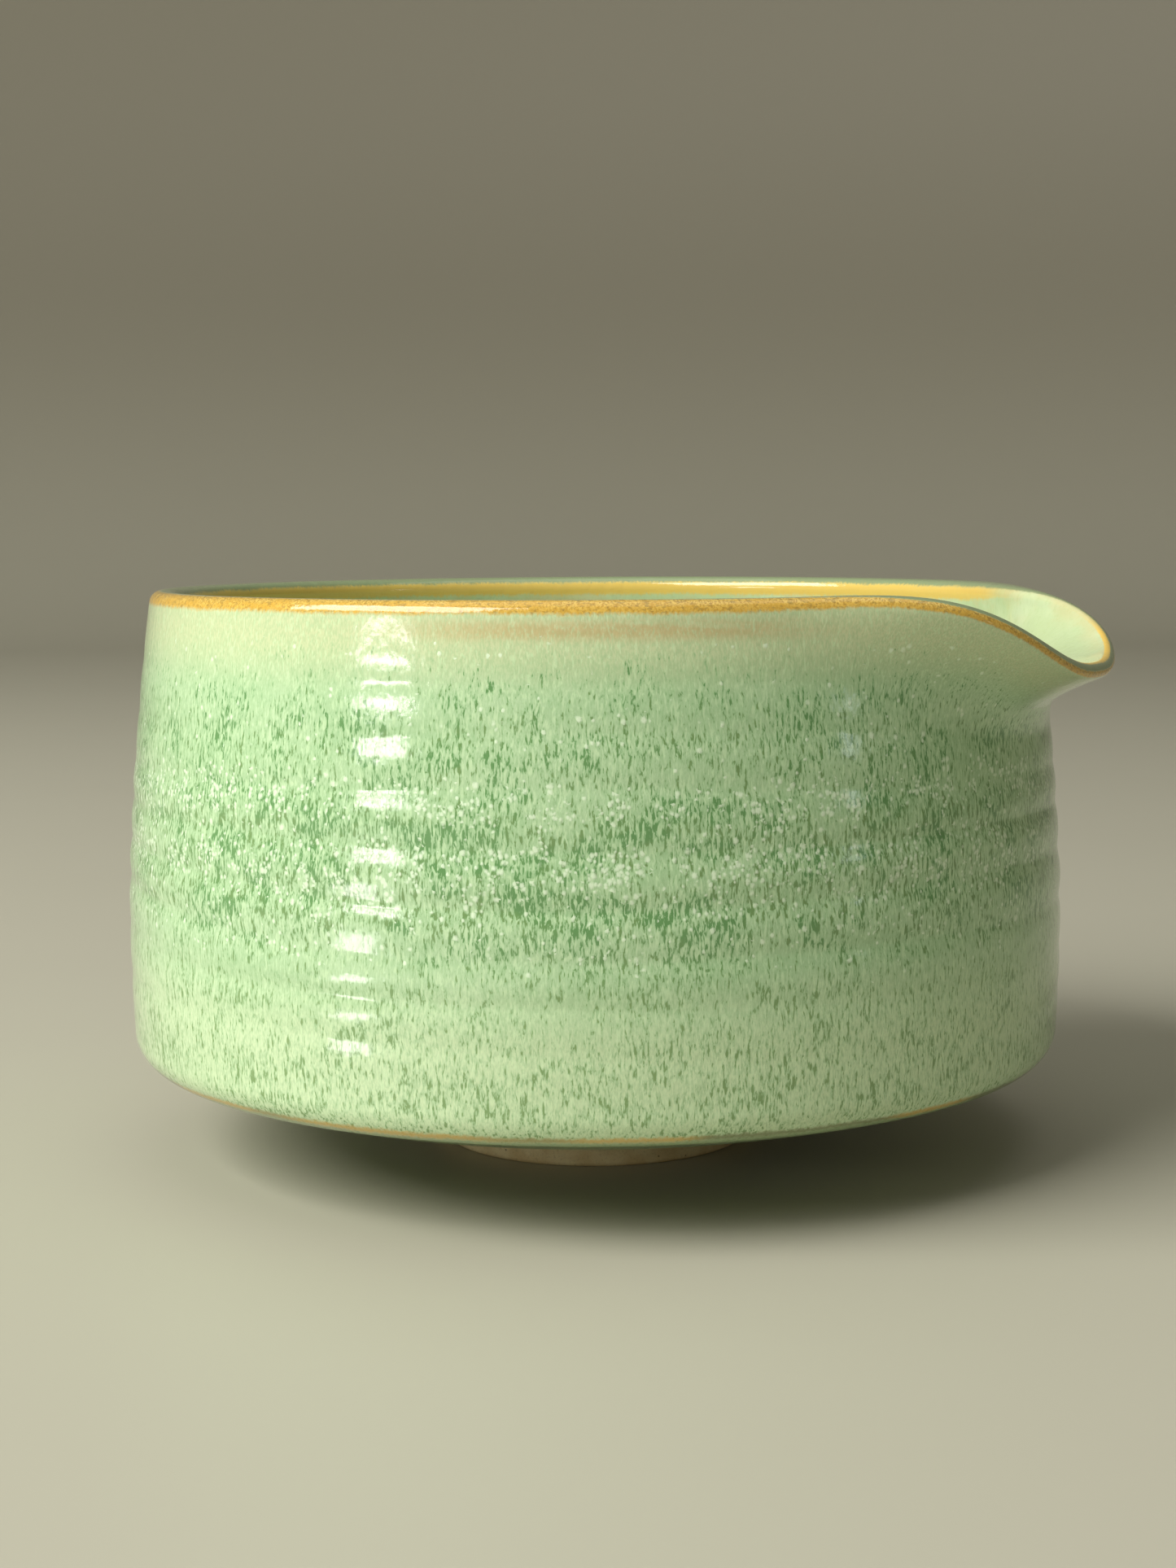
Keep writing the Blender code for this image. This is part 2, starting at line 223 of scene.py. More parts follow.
# ------------------------------------------------------------------ mesh from grids
def make_mesh(name, verts, quads, tris=None):
    verts = (np.asarray(verts, float) + [AXIS_X, 0, 0]) * MM
    me = bpy.data.meshes.new(name)
    quads = np.asarray(quads, np.int32).reshape(-1, 4)
    tris = np.zeros((0, 3), np.int32) if tris is None else np.asarray(tris, np.int32).reshape(-1, 3)
    me.vertices.add(len(verts))
    me.vertices.foreach_set("co", verts.ravel())
    me.loops.add(quads.size + tris.size)
    me.loops.foreach_set("vertex_index", np.r_[quads.ravel(), tris.ravel()])
    me.polygons.add(len(quads) + len(tris))
    start = np.r_[np.arange(len(quads)) * 4, len(quads) * 4 + np.arange(len(tris)) * 3]
    me.polygons.foreach_set("loop_start", start.astype(np.int32))
    me.update(calc_edges=True)
    me.validate()
    me.polygons.foreach_set("use_smooth", np.ones(len(me.polygons), bool))
    return me


def grid_index(ni, nk, base=0):
    return base + np.arange(ni * nk).reshape(ni, nk)


def grid_quads(idx):
    """Quads of a grid that is closed in its first direction."""
    a, b = idx, np.roll(idx, -1, axis=0)
    return np.stack([a[:, :-1], b[:, :-1], b[:, 1:], a[:, 1:]], -1).reshape(-1, 4)


def shell(name, front, back, extra):
    """Closed thin skin: a fine front grid, a coarser back grid, joined along both borders.

    front and back are (angle, row, 3) with the same angles and the same row order.
    extra holds per-vertex front values, by name, each (angle, row).
    """
    ni, nf, nb = front.shape[0], front.shape[1], back.shape[1]
    f = grid_index(ni, nf)
    b = grid_index(ni, nb, ni * nf)
    quads = [grid_quads(f), grid_quads(b)[:, ::-1]]
    for kf, kb, flip in ((0, 0, True), (nf - 1, nb - 1, False)):
        a0, a1 = f[:, kf], np.roll(f[:, kf], -1)
        b0, b1 = b[:, kb], np.roll(b[:, kb], -1)
        q = np.stack([a0, b0, b1, a1], 1) if flip else np.stack([a0, a1, b1, b0], 1)
        quads.append(q)
    verts = np.concatenate([front.reshape(-1, 3), back.reshape(-1, 3)])
    me = make_mesh(name, verts, np.concatenate(quads))
    for key, val in extra.items():
        full = np.concatenate([val.reshape(-1), np.repeat(val[:, :1], nb, 1).reshape(-1)])
        at = me.attributes.new(key, "FLOAT", "POINT")
        at.data.foreach_set("value", full.astype(np.float32))
    ob = bpy.data.objects.new(name, me)
    bpy.context.scene.collection.objects.link(ob)
    return ob


def strip_uv(ob, ni, nf, nb, phi, v_of_row, strips, band=0.96, back_rows=None):
    """Bake map: the front grid cut by angle into stacked strips, the hidden back in a thin band."""
    me = ob.data
    nl = len(me.loops)
    vi = np.empty(nl, np.int32)
    me.loops.foreach_get("vertex_index", vi)
    ls = np.empty(len(me.polygons), np.int32)
    lt = np.empty(len(me.polygons), np.int32)
    me.polygons.foreach_get("loop_start", ls)
    me.polygons.foreach_get("loop_total", lt)
    poly = np.repeat(np.arange(len(ls)), lt)
    is_front = vi < ni * nf
    ang = np.where(is_front, (vi // nf) % ni, ((vi - ni * nf) // nb) % ni)
    row = np.where(is_front, vi % nf, (vi - ni * nf) % nb)
    # a face belongs to the strip of its first column; the wrap face goes on past the end
    amin = np.full(len(ls), 10 ** 9)
    amax = np.full(len(ls), -1)
    np.minimum.at(amin, poly, ang)
    np.maximum.at(amax, poly, ang)
    wrapf = (amax - amin) > ni // 2
    first = np.where(wrapf, amax, amin)
    per = ni / strips
    s = np.minimum((first // per).astype(int), strips - 1)
    a = np.where(wrapf[poly] & (ang < ni // 2), ang + ni, ang).astype(float)
    u = (a - s[poly] * per) / per
    face_front = np.ones(len(ls), bool)
    np.logical_and.at(face_front, poly, is_front)
    pad = 0.004
    vf = v_of_row[np.where(is_front, row, 0)]
    v_front = (s[poly] + pad * strips / 2 + vf * (1 - pad * strips)) / strips * band
    vb = np.where(is_front, np.where(row == 0, 0.0, 1.0), (row + 0.5) / nb)
    v_back = band + 0.006 + (s[poly] + 0.05 + vb * 0.9) / strips * (1 - band - 0.008)
    ff = face_front[poly]
    uv = np.stack([0.003 + u * 0.994, np.where(ff, v_front, v_back)], 1)
    layer = me.uv_layers.new(name="OFBake")
    layer.data.foreach_set("uv", uv.astype(np.float32).ravel())


# ------------------------------------------------------------------ node helpers
class Nodes:
    """Short names for the math a procedural material needs."""

    def __init__(self, name):
        self.m = bpy.data.materials.new(name)
        self.m.use_nodes = True
        self.t = self.m.node_tree
        self.bsdf = self.t.nodes["Principled BSDF"]
        self.coord = self.t.nodes.new("ShaderNodeTexCoord")

    def link(self, a, b):
        self.t.links.new(a, b)

    def put(self, sock, v):
        if isinstance(v, bpy.types.NodeSocket):
            self.link(v, sock)
        else:
            sock.default_value = v

    def math(self, op, a, b=0.0, c=None, clamp=False):
        n = self.t.nodes.new("ShaderNodeMath")
        n.operation, n.use_clamp = op, clamp
        self.put(n.inputs[0], a)
        self.put(n.inputs[1], b)
        if c is not None:
            self.put(n.inputs[2], c)
        return n.outputs[0]

    def add(self, a, b):
        return self.math("ADD", a, b)

    def mul(self, a, b):
        return self.math("MULTIPLY", a, b)

    def sub(self, a, b):
        return self.math("SUBTRACT", a, b)

    def attr(self, name):
        n = self.t.nodes.new("ShaderNodeAttribute")
        n.attribute_name = name
        return n.outputs["Fac"]

    def place(self, scale, offset=(0, 0, 0)):
        """Object coordinates in mm, stretched."""
        n = self.t.nodes.new("ShaderNodeMapping")
        n.inputs["Scale"].default_value = [1000.0 * s for s in scale]
        n.inputs["Location"].default_value = offset
        self.link(self.coord.outputs["Object"], n.inputs["Vector"])
        return n.outputs[0]

    def noise(self, vec, scale=1.0, detail=2.0, rough=0.5, distort=0.0, kind="FBM"):
        n = self.t.nodes.new("ShaderNodeTexNoise")
        n.noise_dimensions = "3D"
        n.inputs["Scale"].default_value = scale
        n.inputs["Detail"].default_value = detail
        n.inputs["Roughness"].default_value = rough
        n.inputs["Distortion"].default_value = distort
        self.link(vec, n.inputs["Vector"])
        return n.outputs[0]

    def voronoi(self, vec, scale=1.0, feature="F1", rand=1.0):
        n = self.t.nodes.new("ShaderNodeTexVoronoi")
        n.feature = feature
        n.inputs["Scale"].default_value = scale
        n.inputs["Randomness"].default_value = rand
        self.link(vec, n.inputs["Vector"])
        return n

    def ramp(self, v, lo, hi, a=0.0, b=1.0, kind="SMOOTHSTEP"):
        n = self.t.nodes.new("ShaderNodeMapRange")
        n.interpolation_type = kind
        self.put(n.inputs["Value"], v)
        self.put(n.inputs["From Min"], lo)
        self.put(n.inputs["From Max"], hi)
        self.put(n.inputs["To Min"], a)
        self.put(n.inputs["To Max"], b)
        return n.outputs[0]

    def bump_band(self, v, centre, half, soft):
        """1 inside centre +- half, 0 outside, soft edges."""
        d = self.math("ABSOLUTE", self.sub(v, centre))
        return self.ramp(d, half + soft, half - soft)

    def mix(self, f, a, b, mode="MIX"):
        n = self.t.nodes.new("ShaderNodeMix")
        n.data_type, n.blend_type = "RGBA", mode
        self.put(n.inputs[0], f)
        for sock, v in ((n.inputs[6], a), (n.inputs[7], b)):
            self.put(sock, v if isinstance(v, bpy.types.NodeSocket) else (*v, 1.0))
        return n.outputs[2]

    def bump(self, height, dist, strength=1.0, normal=None):
        n = self.t.nodes.new("ShaderNodeBump")
        n.inputs["Strength"].default_value = strength
        n.inputs["Distance"].default_value = dist
        self.link(height, n.inputs["Height"])
        if normal is not None:
            self.link(normal, n.inputs["Normal"])
        return n.outputs[0]


def srgb(r, g, b):
    out = []
    for c in (r, g, b):
        c /= 255.0
        out.append(c / 12.92 if c <= 0.04045 else ((c + 0.055) / 1.055) ** 2.4)
    return tuple(out)


FILM_A, FILM_B = srgb(170, 202, 156), srgb(182, 210, 167)
# lower belt film: a paler glaze, lifted further by painted light standing in for the floor's bright
# bounce on the lower wall
FILM_LOW_PALE_AND_PAINTED_LIGHT, FILM_TOP = srgb(201, 222, 178), srgb(199, 209, 164)
FILM_MID = srgb(150, 188, 138)
DEEP_A, DEEP_B, DEEP_LOW = srgb(108, 140, 82), srgb(86, 136, 76), srgb(126, 154, 96)
TAN, CRYSTAL, VEIN = srgb(190, 162, 110), srgb(220, 238, 208), srgb(204, 230, 184)
AMBER_A, AMBER_B, AMBER_C = srgb(176, 134, 46), srgb(230, 196, 98), srgb(210, 164, 56)
AMBER_D = srgb(138, 112, 52)
LIP_TOP = srgb(126, 144, 104)


# ------------------------------------------------------------------ glaze colour
def green_glaze(k):
    """Reactive green glaze: a light film torn into short falling streaks over a deeper green."""
    hgt = k.attr("hgt")                       # nominal height in mm
    slow = k.noise(k.place((0.045, 0.045, 0.11)), detail=3.0)
    slow2 = k.noise(k.place((0.15, 0.15, 0.24), (7, 3, 1)), detail=3.0)
    z = k.add(hgt, k.mul(k.sub(slow, 0.5), 9.0))   # bands wander up and down

    # how far the film is torn open, by height
    open_ = k.mul(k.bump_band(z, 48.2, 3.0, 4.4), 0.42)
    open_ = k.add(open_, k.mul(k.bump_band(z, 39.5, 3.5, 4.2), 0.38))
    open_ = k.add(open_, k.mul(k.bump_band(z, 57.5, 2.5, 4.5), 0.26))
    open_ = k.add(open_, k.mul(k.bump_band(hgt, 18.5, 1.5, 3.5), 0.20))
    open_ = k.add(open_, k.mul(k.bump_band(z, 45.0, 4.0, 5.0), 0.10))
    open_ = k.sub(open_, k.mul(k.ramp(hgt, 36.0, 28.0), 0.02))
    open_ = k.sub(open_, 0.06)
    open_ = k.add(open_, k.mul(k.sub(slow2, 0.5), 1.5))
    top_quiet = k.ramp(hgt, 62.0, 68.5)
    open_ = k.sub(open_, k.mul(top_quiet, 0.60))
    open_ = k.sub(open_, k.mul(k.ramp(hgt, 68.5, 70.5), 1.2))

    # streaks: tall narrow noise, three sizes
    st1 = k.noise(k.place((3.1, 3.1, 0.74)), detail=2.5, rough=0.55, distort=0.5)
    st2 = k.noise(k.place((1.8, 1.8, 0.55), (11, 5, 2)), detail=3.0, rough=0.55, distort=0.7)
    st3 = k.noise(k.place((6.0, 6.0, 1.8), (1, 9, 4)), detail=1.0, distort=0.2)
    torn = k.add(k.add(k.mul(st1, 0.52), k.mul(st2, 0.36)), k.mul(st3, 0.12))
    cut = k.add(0.440, k.mul(open_, 0.115))
    dark = k.ramp(torn, k.add(cut, 0.018), k.sub(cut, 0.034))
    soft = k.ramp(torn, k.add(cut, 0.090), k.sub(cut, 0.01))
    veins = k.ramp(st1, 0.53, 0.66)

    # colours of the film and of what shows through it
    film = k.mix(k.ramp(slow, 0.35, 0.65), FILM_A, FILM_B)
    # lower belt: paler film, partly painted light for the floor's bounce
    film = k.mix(k.ramp(hgt, 34.0, 22.0), film, FILM_LOW_PALE_AND_PAINTED_LIGHT)
    film = k.mix(k.ramp(hgt, 63.0, 71.0), film, FILM_TOP)
    fine = k.noise(k.place((5.5, 5.5, 1.6), (2, 2, 8)), detail=2.0)
    film = k.mix(k.mul(k.ramp(fine, 0.35, 0.65), 0.42), film, FILM_MID)
    film = k.mix(k.mul(soft, 0.72), film, FILM_MID)
    film = k.mix(k.mul(k.ramp(open_, 0.2, 1.0), 0.45), film, FILM_MID)
    deep = k.mix(k.ramp(slow2, 0.42, 0.60), DEEP_A, DEEP_B)
    deep = k.mix(k.mul(k.ramp(hgt, 37.0, 29.0), 0.75), deep, DEEP_LOW)
    film = k.mix(k.mul(veins, 0.45), film, VEIN)
    base = k.mix(k.mul(dark, 0.85), film, deep)

    # pink-tan breath of the body through the thin glaze just under the lip
    tan_n = k.ramp(k.noise(k.place((0.06, 0.06, 0.6), (5, 5, 0)), detail=2.0), 0.34, 0.50, 0.35, 1.0)
    tan = k.mul(k.mul(k.bump_band(hgt, 71.3, 1.0, 0.8), tan_n), k.attr("tan"))
    grain = k.ramp(k.noise(k.place((3.6, 3.6, 1.5)), detail=2.0), 0.30, 0.56, 0.35, 1.0)
    base = k.mix(k.mul(k.mul(tan, grain), 0.62), base, TAN)

    # pale crystals, single and in clusters along three belts
    belt = k.mul(k.bump_band(z, 51.2, 1.8, 2.6), 0.85)
    belt = k.add(belt, k.mul(k.bump_band(z, 43.4, 2.2, 2.8), 0.90))
    belt = k.add(belt, k.mul(k.bump_band(z, 36.5, 2.0, 5.0), 0.22))
    belt = k.add(belt, k.mul(k.bump_band(z, 60.0, 2.0, 6.0), 0.10))
    belt = k.add(belt, k.mul(k.bump_band(hgt, 68.5, 0.8, 2.0), 0.10))
    clump = k.noise(k.place((0.34, 0.34, 0.34), (4, 8, 2)), detail=2.5)
    belt = k.mul(belt, k.ramp(clump, 0.42, 0.60, 0.12, 1.45))
    jitter = k.noise(k.place((3.4, 3.4, 3.4), (3, 1, 3)), detail=2.0)
    spots = None
    for scale, offs in ((1.12, (0, 0, 0)), (1.60, (13, 7, 5))):
        v = k.voronoi(k.place((scale, scale, scale * 0.9), offs))
        sep = k.t.nodes.new("ShaderNodeSeparateColor")
        k.link(v.outputs["Color"], sep.inputs[0])
        here = k.math("LESS_THAN", sep.outputs[0], belt)
        rad = k.add(0.38, k.mul(sep.outputs[1], 0.20))
        far = k.add(v.outputs["Distance"], k.mul(k.sub(jitter, 0.5), 0.34))
        dot = k.ramp(far, rad, k.mul(rad, 0.30))
        one = k.mul(dot, here)
        spots = one if spots is None else k.math("MAXIMUM", spots, one)
    base = k.mix(k.mul(spots, 0.82), base, CRYSTAL)
    return base, dark, spots, hgt


def lip_colours(k, base):
    """Amber where the glaze breaks thin beside the lip, grey-green on the lip's top."""
    s = k.attr("lip")                          # mm from the top of the lip, + outside, - inside
    keep = k.attr("amb")                       # the inside band fades out on one flank of the spout
    wob = k.noise(k.place((0.22, 0.22, 0.22), (9, 1, 3)), detail=3.0)
    fine = k.noise(k.place((2.6, 2.6, 1.3), (6, 2, 9)), detail=3.0, rough=0.6)
    s2 = k.add(s, k.add(k.mul(k.sub(wob, 0.5), 0.55), k.mul(k.sub(fine, 0.5), 0.9)))
    out_band = k.bump_band(s2, 1.95, 1.10, 0.34)
    in_band = k.mul(k.bump_band(s2, -2.75, 0.95, 0.34), keep)
    grain = k.noise(k.place((4.2, 4.2, 3.0), (1, 4, 4)), detail=3.0, rough=0.65)
    lower = k.ramp(s2, 1.3, 2.7)
    amber = k.mix(k.ramp(grain, 0.38, 0.60), AMBER_A, AMBER_B)
    amber = k.mix(k.mul(lower, 0.55), amber, AMBER_C)
    amber = k.mix(k.mul(k.ramp(k.noise(k.place((0.3, 0.3, 0.9), (2, 2, 2)), detail=2.0), 0.42, 0.62),
                        0.6), amber, AMBER_C)
    burnt = k.noise(k.place((1.5, 1.5, 2.6), (7, 7, 3)), detail=3.0, rough=0.65)
    burnt = k.mul(k.ramp(burnt, 0.52, 0.64), k.ramp(s, -0.5, 0.5))
    amber = k.mix(k.ramp(s, 0.5, -0.5), amber, AMBER_B)
    amber = k.mix(k.mul(burnt, 0.55), amber, AMBER_D)
    top = k.bump_band(s2, -0.55, 1.35, 0.30)
    base = k.mix(k.mul(top, 0.80), base, LIP_TOP)
    base = k.mix(k.mul(out_band, 0.94), base, amber)
    base = k.mix(k.mul(in_band, 0.95), base, amber)
    return base, s, out_band, in_band


def liner_colour(k):
    hgt = k.attr("hgt")
    n1 = k.noise(k.place((0.12, 0.12, 0.12), (3, 3, 3)), detail=3.0)
    n2 = k.noise(k.place((2.4, 2.4, 0.9), (8, 1, 2)), detail=3.0, rough=0.6)
    col = k.mix(k.ramp(n1, 0.35, 0.65), srgb(190, 208, 160), srgb(202, 218, 174))
    col = k.mix(k.mul(k.ramp(n2, 0.50, 0.66), 0.35), col, srgb(180, 200, 144))
    cloud = k.ramp(k.noise(k.place((0.16, 0.16, 0.25), (9, 9, 1)), detail=3.0), 0.42, 0.62)
    near = k.ramp(k.attr("lip"), -11.0, -3.5)
    col = k.mix(k.mul(k.mul(cloud, near), 0.40), col, srgb(212, 194, 140))
    low = k.ramp(hgt, 58.0, 30.0)
    streak = k.ramp(k.noise(k.place((1.9, 1.9, 0.5), (1, 5, 3)), detail=3.0, distort=0.5), 0.50, 0.62)
    col = k.mix(k.mul(k.mul(streak, low), 0.45), col, srgb(150, 184, 126))
    pool = k.ramp(hgt, 24.0, 9.5)
    return k.mix(k.mul(pool, 0.75), col, srgb(144, 182, 122))


def finish_glaze(k, colour, dark, spots, rough=0.14):
    k.link(colour, k.bsdf.inputs["Base Color"])
    peel = k.noise(k.place((0.5, 0.5, 0.38), (1, 2, 3)), detail=2.0)
    fine = k.noise(k.place((1.6, 1.6, 1.0), (4, 5, 6)), detail=2.0)
    nrm = k.bump(peel, 0.00022, 0.35)
    nrm = k.bump(fine, 0.00005, 0.35, nrm)
    if dark is not None:
        nrm = k.bump(k.math("MAXIMUM", k.mul(dark, -0.5), spots), 0.00004, 0.5, nrm)
        r = k.add(rough, k.mul(spots, 0.12))
        k.link(r, k.bsdf.inputs["Roughness"])
    else:
        k.bsdf.inputs["Roughness"].default_value = rough
    k.link(nrm, k.bsdf.inputs["Normal"])
    k.bsdf.inputs["IOR"].default_value = 1.5
    k.bsdf.inputs["Coat Weight"].default_value = 0.25
    k.bsdf.inputs["Coat Roughness"].default_value = 0.06


def edge_colours(k, base, hgt):
    """Amber line where the glaze breaks on the turned lower edge, grey-green below it."""
    wob = k.noise(k.place((0.08, 0.08, 0.3), (2, 7, 7)), detail=3.0)
    fine = k.noise(k.place((2.0, 2.0, 1.4), (5, 5, 1)), detail=3.0)
    z = k.add(hgt, k.add(k.mul(k.sub(wob, 0.5), 0.8), k.mul(k.sub(fine, 0.5), 0.7)))
    below = k.ramp(z, 13.7, 12.9)
    base = k.mix(k.mul(below, 0.8), base, srgb(140, 158, 116))
    line = k.bump_band(z, 13.55, 0.32, 0.30)
    warm = k.ramp(k.noise(k.place((0.035, 0.035, 0.02), (1, 6, 2)), detail=1.0), 0.44, 0.56)
    tone = k.mix(warm, srgb(122, 128, 84), srgb(204, 168, 84))
    return k.mix(k.mul(line, 0.85), base, tone)


def outer_material():
    k = Nodes("green_glaze")
    base, dark, spots, hgt = green_glaze(k)
    base = edge_colours(k, base, hgt)
    base, s, ob, ib = lip_colours(k, base)
    finish_glaze(k, base, dark, spots)
    return k.m


def rim_material():
    k = Nodes("lip_glaze")
    base, dark, spots, hgt = green_glaze(k)
    s = k.attr("lip")
    liner = liner_colour(k)
    base = k.mix(k.ramp(s, -0.6, -1.6), base, liner)
    base, s, ob, ib = lip_colours(k, base)
    finish_glaze(k, base, dark, spots)
    return k.m


def liner_material():
    k = Nodes("liner_glaze")
    base = liner_colour(k)
    base, s, ob, ib = lip_colours(k, base)
    finish_glaze(k, base, None, None, 0.13)
    return k.m


def clay_material(name, light, dark, rough):
    k = Nodes(name)
    n1 = k.noise(k.place((0.25, 0.25, 0.25)), detail=4.0)
    n2 = k.noise(k.place((3.0, 3.0, 3.0), (2, 2, 2)), detail=3.0, rough=0.7)
    col = k.mix(k.ramp(n1, 0.35, 0.65), light, dark)
    col = k.mix(k.mul(k.ramp(n2, 0.52, 0.70), 0.4), col, tuple(c * 0.6 for c in dark))
    v = k.voronoi(k.place((0.9, 0.9, 0.9), (5, 1, 1)))
    speck = k.ramp(v.outputs["Distance"], 0.16, 0.10)
    sep = k.t.nodes.new("ShaderNodeSeparateColor")
    k.link(v.outputs["Color"], sep.inputs[0])
    speck = k.mul(speck, k.math("LESS_THAN", sep.outputs[0], 0.35))
    col = k.mix(k.mul(speck, 0.7), col, srgb(96, 66, 42))
    k.link(col, k.bsdf.inputs["Base Color"])
    k.bsdf.inputs["Roughness"].default_value = rough
    nrm = k.bump(n2, 0.00012, 0.5)
    k.link(nrm, k.bsdf.inputs["Normal"])
    return k.m


# ------------------------------------------------------------------ the skins
NPHI = 480
PHI = np.linspace(0, 2 * math.pi, NPHI, endpoint=False)
H_OUT, H_IN = 3.0, 3.2                     # where the lip piece meets the two skins


def row_grid(hs):
    a, b = np.meshgrid(PHI, np.asarray(hs, float), indexing="ij")
    return a, b


def lip_distance():
    """Arc length from the lip's top to its edge, on the plain wall, by lip row."""
    p = lip_points(np.array([math.pi]), 36)[0]
    d = np.r_[0, np.cumsum(np.linalg.norm(np.diff(p, axis=0), axis=1))]
    return d[18] - d, float(d[18])


LIP_S, LIP_HALF = lip_distance()


def add_skin(name, node, front, back, hgt, lip, v_rows, strips, mat):
    d = wrap(PHI)                            # far flank of the spout: amber lost, then back at the tip
    gone = bell(d - 24.0, 11.0, 4.0)
    amb = np.tile((1 - 0.92 * gone + 0.5 * bell(d - 9.0, 6.0, 4.0))[:, None], (1, front.shape[1]))
    thin = sum(np.exp(-((wrap(PHI - math.radians(c)) / w) ** 4)) for c, w in
               ((-61.0, 23.0), (62.0, 24.0), (138.0, 20.0), (-168.0, 14.0)))
    tan = np.tile(np.clip(thin, 0, 1)[:, None], (1, front.shape[1]))
    lip = lip * (1 + 0.5 * bell(d, 34.0, 4.0))[:, None]    # the lip is thinner on the spout
    ob = shell(name, front, back, {"hgt": hgt, "lip": lip, "amb": amb, "tan": tan})
    fix_out(ob)
    strip_uv(ob, NPHI, front.shape[1], back.shape[1], PHI, v_rows, strips)
    ob.data.materials.append(mat)
    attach(ob, "root")
    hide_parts(node)
    return ob


def seam_normals(ob, wide, trim, nf, nb):
    """Set the front's normals from a grid one row wider at each border, so neighbours shade alike."""
    du = np.roll(wide, -1, 0) - np.roll(wide, 1, 0)
    dv = np.gradient(wide, axis=1)
    n = np.cross(du, dv)
    n = unit(n)[:, trim[0]:wide.shape[1] - trim[1]]
    me = ob.data
    count = len(me.vertices)
    vn = np.empty(count * 3)
    me.vertices.foreach_get("normal", vn)
    vn = vn.reshape(-1, 3)
    old = vn[:NPHI * nf].reshape(NPHI, nf, 3)
    sign = np.sign((old * n).sum(-1).mean())
    vn[:NPHI * nf] = (n * sign).reshape(-1, 3)
    me.normals_split_custom_set_from_vertices([tuple(v) for v in vn])


def build_outer():
    low = low_outer(30, 18, GLAZE_STOP_R)
    hs_all = np.linspace(TOP_Z - EDGE_CZ, H_OUT, 116)
    ext = np.append(hs_all, H_OUT - (hs_all[-2] - hs_all[-1]))
    a, h = row_grid(ext)
    wall = outside(a, h)
    # thickened, rounded end of the glaze beside the foot
    roll = low.copy()
    lowg = spin(roll, PHI)
    edge_w = 0.10 * np.sin(PHI * 7 + 0.6) + 0.13 * np.sin(PHI * 4) + 0.05 * np.sin(PHI * 17)
    fade = smooth(1 - (low[:, 0] - GLAZE_STOP_R) / 6.0)
    rr = low[None, :, 0] + (edge_w[:, None] * fade[None] * 2.2)
    lowg = np.stack([rr * np.cos(PHI)[:, None], rr * np.sin(PHI)[:, None],
                     np.ones_like(rr) * low[None, :, 1]], -1)
    bead = 0.16 * np.exp(-((low[:, 0] - GLAZE_STOP_R - 0.5) / 0.6) ** 2)
    lowg[:, :, 2] -= bead[None]
    full = np.concatenate([lowg, wall], 1)
    front = full[:, :-1]
    lowb = shift_profile(np.vstack([low_outer(8, 5, GLAZE_STOP_R), [(wall_r(EDGE_CZ), EDGE_CZ)]]),
                         GLAZE_T)
    a2, h2 = row_grid(np.r_[np.linspace(TOP_Z - EDGE_CZ, 20.0, 5)[:-1], np.linspace(20.0, H_OUT, 24)])
    back = np.concatenate([spin(lowb[:-1], PHI), outside(a2, h2, GLAZE_T)], 1)
    hgt = np.concatenate([np.tile(low[:, 1], (NPHI, 1)), TOP_Z - np.tile(hs_all, (NPHI, 1))], 1)
    lip = np.concatenate([np.full((NPHI, len(low)), 60.0),
                          LIP_HALF + np.tile(hs_all, (NPHI, 1))], 1)
    seg = np.linalg.norm(np.diff(front[NPHI // 2], axis=0), axis=1)
    seg[:28] *= 0.35                       # the underside gets fewer texels than the wall
    v = np.r_[0, np.cumsum(seg)]
    ob = add_skin("glaze_outside", "outer_glaze", front, back, hgt, lip,
                  v / v[-1], 3, outer_material())
    wide = np.concatenate([full[:, :1] * 2 - full[:, 1:2], full], 1)
    seam_normals(ob, wide, (1, 1), front.shape[1], back.shape[1])
    return ob


def build_lip():
    h_out = np.linspace(H_OUT, 0, 9)[:-1]
    h_in = np.linspace(0, H_IN, 9)[1:]
    a1, b1 = row_grid(np.r_[H_OUT + 0.375, h_out])
    a2, b2 = row_grid(np.r_[h_in, H_IN + 0.4])
    full = np.concatenate([outside(a1, b1), lip_points(PHI, 36), inside(a2, b2)], 1)
    front = full[:, 1:-1]
    a1, b1 = row_grid(np.linspace(H_OUT, 0, 4)[:-1])
    a2, b2 = row_grid(np.linspace(0, H_IN, 4)[1:])
    back = np.concatenate([outside(a1, b1, GLAZE_T), lip_points(PHI, 10, GLAZE_T),
                           inside(a2, b2, GLAZE_T)], 1)
    s = np.r_[LIP_HALF + h_out, LIP_S, -LIP_HALF - h_in]
    z = np.r_[TOP_Z - h_out, TOP_Z + LIP_HALF - np.abs(LIP_S), TOP_Z - h_in]
    hgt, lip = np.tile(z, (NPHI, 1)), np.tile(s, (NPHI, 1))
    seg = np.linalg.norm(np.diff(front[NPHI // 2], axis=0), axis=1)
    v = np.r_[0, np.cumsum(seg)]
    ob = add_skin("glaze_lip", "rim_glaze", front, back, hgt, lip, v / v[-1], 6,
                  rim_material())
    seam_normals(ob, full, (1, 1), front.shape[1], back.shape[1])
    return ob


